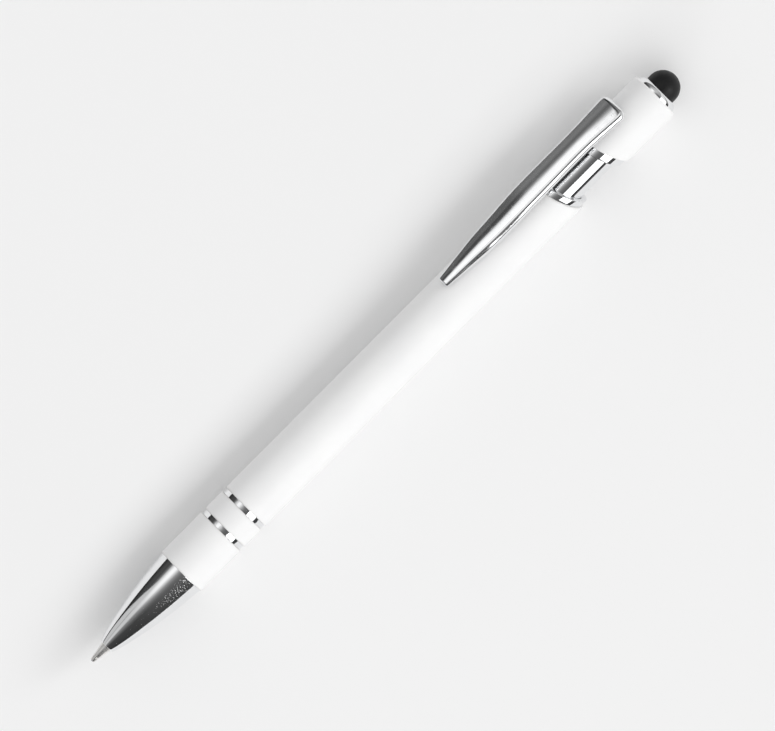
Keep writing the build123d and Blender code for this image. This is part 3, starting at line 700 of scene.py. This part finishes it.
# Row of soft lamps along the pen, on the -Y side, which bright metal doesn't show. Metres
LAMP_TURN, LAMP_AWAY, LAMP_LONG, LAMP_WIDE = radians(42), 4, 6, 2.06
LAMPS = (("key", 0.05, 53), ("key_front", -6.95, 92), ("key_rear", 7.05, 270))
c, s = cos(LAMP_TURN), sin(LAMP_TURN)
for name, place, power in LAMPS:
    matrix = ((1, 0, 0, place), (0, c, -s, -LAMP_AWAY * s), (0, s, c, LAMP_AWAY * c), (0, 0, 0, 1))
    area_lamp(name, LAMP_LONG, LAMP_WIDE, power, matrix).visible_glossy = False

# Upright card on the +Y side that only bright metal shows. Its greys by height go over from
# one table to the next along X. Millimetres
CARD_X, CARD_Y, CARD_W, CARD_H = 83, 160, 96, 165
FRONT_GREYS = (
    (0, 0.0), (6, 0.0), (10, 0.08), (46, 0.08), (50, 0.0), (74, 0.0), (84, 0.7), (98, 1.05),
    (165, 1.05),
)
EVEN_GREYS = (
    (0, 0.0), (7, 0.12), (36, 0.17), (58, 0.05), (69, 0.14), (77, 0.34), (84, 0.7), (93, 1.05),
    (165, 1.05),
)
TAIL_GREYS = (
    (0, 0.0), (7, 0.14), (36, 0.18), (56, 0.05), (66, 0.09), (80, 0.24), (92, 0.6), (104, 1.1),
    (165, 1.1),
)
CARD_GREYS = ((68, FRONT_GREYS), (88, EVEN_GREYS), (118, EVEN_GREYS), (130, TAIL_GREYS))
width, height = CARD_W * MM, CARD_H * MM
matrix = ((-1, 0, 0, CARD_X * MM), (0, 0, 1, CARD_Y * MM), (0, 1, 0, height / 2), (0, 0, 0, 1))
card = area_lamp("card", width, height, pi * width * height, matrix)
card.visible_diffuse = False
card.data.use_nodes = True
tree = card.data.node_tree
split = tree.nodes.new("ShaderNodeSeparateXYZ")
surface = tree.nodes.new("ShaderNodeNewGeometry")
tree.links.new(surface.outputs["Parametric"], split.inputs["Vector"])
shown, edge = None, None
for place, greys in CARD_GREYS:
    ramp = tree.nodes.new("ShaderNodeValToRGB")
    grade(ramp.color_ramp, [(z / CARD_H, grey) for z, grey in greys])
    tree.links.new(split.outputs["Y"], ramp.inputs["Fac"])
    start, edge = edge, 0.5 - (place - CARD_X) / CARD_W
    if shown is None:
        shown = ramp.outputs["Color"]
        continue
    along = tree.nodes.new("ShaderNodeMapRange")
    along.inputs["From Min"].default_value = start
    along.inputs["From Max"].default_value = edge
    tree.links.new(split.outputs["X"], along.inputs["Value"])
    blend = tree.nodes.new("ShaderNodeMixRGB")
    tree.links.new(along.outputs["Result"], blend.inputs["Fac"])
    tree.links.new(shown, blend.inputs["Color1"])
    tree.links.new(ramp.outputs["Color"], blend.inputs["Color2"])
    shown = blend.outputs["Color"]
tree.links.new(shown, tree.nodes["Emission"].inputs["Color"])

# Air: an even dome lights the matt surfaces, and bright metal shows a dark room instead. Its
# greys go by degrees from straight up, + towards -Y, in the middle, ahead past the tip and
# behind past the stylus. A bright strip and a pale panel are laid over parts of it
DOME_GREY, ROOM_POWER, STRIP_POWER = 0.65, 1.4, 2.5
MIDDLE_ROOM = (
    (-92, 0.01), (-79, 0.03), (-68, 0.05), (-58, 0.045), (-48.5, 0.12), (-39.5, 0.5), (-30.5, 0.76),
    (-22, 0.77), (-13, 0.48), (-5, 0.24), (4, 0.14), (12, 0.1), (27, 0.08), (67, 0.05), (110, 0.02),
)
AHEAD_ROOM = (
    (-92, 0.01), (-50, 0.03), (-42, 0.44), (-24, 0.46), (-14, 0.17), (-7, 0.14), (5, 0.08),
    (18, 0.04), (110, 0.02),
)
BEHIND_ROOM = (
    (-92, 0.1), (-60, 0.18), (-35, 0.36), (-10, 0.4), (10, 0.3), (28, 0.26), (34, 0.6), (66, 0.6),
    (74, 0.25), (110, 0.12),
)
STRIP = ((-92, 0.0), (28, 0.0), (31, 0.95), (67, 0.95), (72, 0.0), (110, 0.0))
PANEL = ((-92, 0.0), (-48, 0.0), (-42, 0.42), (-13, 0.42), (-8, 0.0), (110, 0.0))

# Where one part of the room goes over to the next, by how far a ray heads along X
AHEAD_TO_MIDDLE, STRIP_FROM, MIDDLE_TO_BEHIND = (-0.42, -0.2), (-0.16, -0.08), (0.3, 0.6)
PANEL_SLIDE, PANEL_TURN = (-0.38, -0.22), 0.1

world = bpy.data.worlds.new("studio")
bpy.context.scene.world = world
world.use_nodes = True
world.cycles.sampling_method = "NONE"
sky = world.node_tree
even = sky.nodes["Background"]
even.inputs["Color"].default_value = (DOME_GREY, DOME_GREY, DOME_GREY, 1)


def air(kind, *sources, **settings):
    """Node of the air, fed by outputs or numbers."""
    made = sky.nodes.new(kind)
    for key, value in settings.items():
        setattr(made, key, value)
    for socket, source in zip(made.inputs, sources):
        if hasattr(source, "is_output"):
            sky.links.new(source, socket)
        else:
            socket.default_value = source
    return made


def room(turn, greys):
    """Grey of the room by a turn about X, which is 0.5 for straight up."""
    ramp = air("ShaderNodeValToRGB", turn)
    grade(ramp.color_ramp, [(degrees / 360 + 0.5, grey) for degrees, grey in greys])
    return ramp.outputs["Color"]


def ease(value, start, end, low=0.0, high=1.0):
    """Smooth step from low to high as a value goes from start to end."""
    stepped = air(
        "ShaderNodeMapRange", value, start, end, low, high, interpolation_type="SMOOTHSTEP"
    )
    return stepped.outputs[0]


def mix(amount, first, second, kind="MIX"):
    """Mix of two colours of the room."""
    return air("ShaderNodeMixRGB", amount, first, second, blend_type=kind).outputs["Color"]


def sums(operation, *sources):
    """Result of a sum with outputs or numbers."""
    return air("ShaderNodeMath", *sources, operation=operation).outputs[0]


way = air("ShaderNodeSeparateXYZ", air("ShaderNodeTexCoord").outputs["Generated"]).outputs
angle = sums("ARCTAN2", sums("MULTIPLY", way["Y"], -1.0), way["Z"])
turn = sums("MULTIPLY_ADD", angle, 0.5 / pi, 0.5)
middle = room(turn, MIDDLE_ROOM)
strip = mix(1.0, room(turn, STRIP), (STRIP_POWER, STRIP_POWER, STRIP_POWER, 1), "MULTIPLY")
panel = room(sums("ADD", turn, ease(way["X"], *PANEL_SLIDE, PANEL_TURN, 0.0)), PANEL)
mixed = mix(ease(way["X"], *AHEAD_TO_MIDDLE), room(turn, AHEAD_ROOM), middle)
mixed = mix(1.0, mixed, panel, "LIGHTEN")
mixed = mix(ease(way["X"], *STRIP_FROM), mixed, mix(1.0, middle, strip, "LIGHTEN"))
mixed = mix(ease(way["X"], *MIDDLE_TO_BEHIND), mixed, room(turn, BEHIND_ROOM))
seen = air("ShaderNodeBackground", mixed, ROOM_POWER).outputs["Background"]
path = air("ShaderNodeLightPath").outputs
gloss = sums("GREATER_THAN", path["Is Glossy Ray"], path["Diffuse Depth"])
both = air("ShaderNodeMixShader", gloss, even.outputs["Background"], seen).outputs["Shader"]
sky.links.new(both, sky.nodes["World Output"].inputs["Surface"])

# Camera straight above, turned so that the pen lies along a diagonal of the picture. Metres
SENSOR, PICTURE_WIDE = 36, 0.13394
CAMERA_X, CAMERA_Y, CAMERA_Z = 0.05035, -0.00018, 1.5
CAMERA_TURN = radians(45.126)
lens = bpy.data.cameras.new("camera")
lens.sensor_width = SENSOR
lens.lens = SENSOR * CAMERA_Z / PICTURE_WIDE
lens.clip_start, lens.clip_end = 0.05, 20
camera = bpy.data.objects.new("camera", lens)
c, s = cos(CAMERA_TURN), sin(CAMERA_TURN)
camera.matrix_world = Matrix(
    ((c, s, 0, CAMERA_X), (-s, c, 0, CAMERA_Y), (0, 0, 1, CAMERA_Z), (0, 0, 0, 1))
)
bpy.context.scene.collection.objects.link(camera)
bpy.context.scene.camera = camera
bpy.context.scene.view_settings.view_transform = "Standard"

bpy.context.view_layer.update()
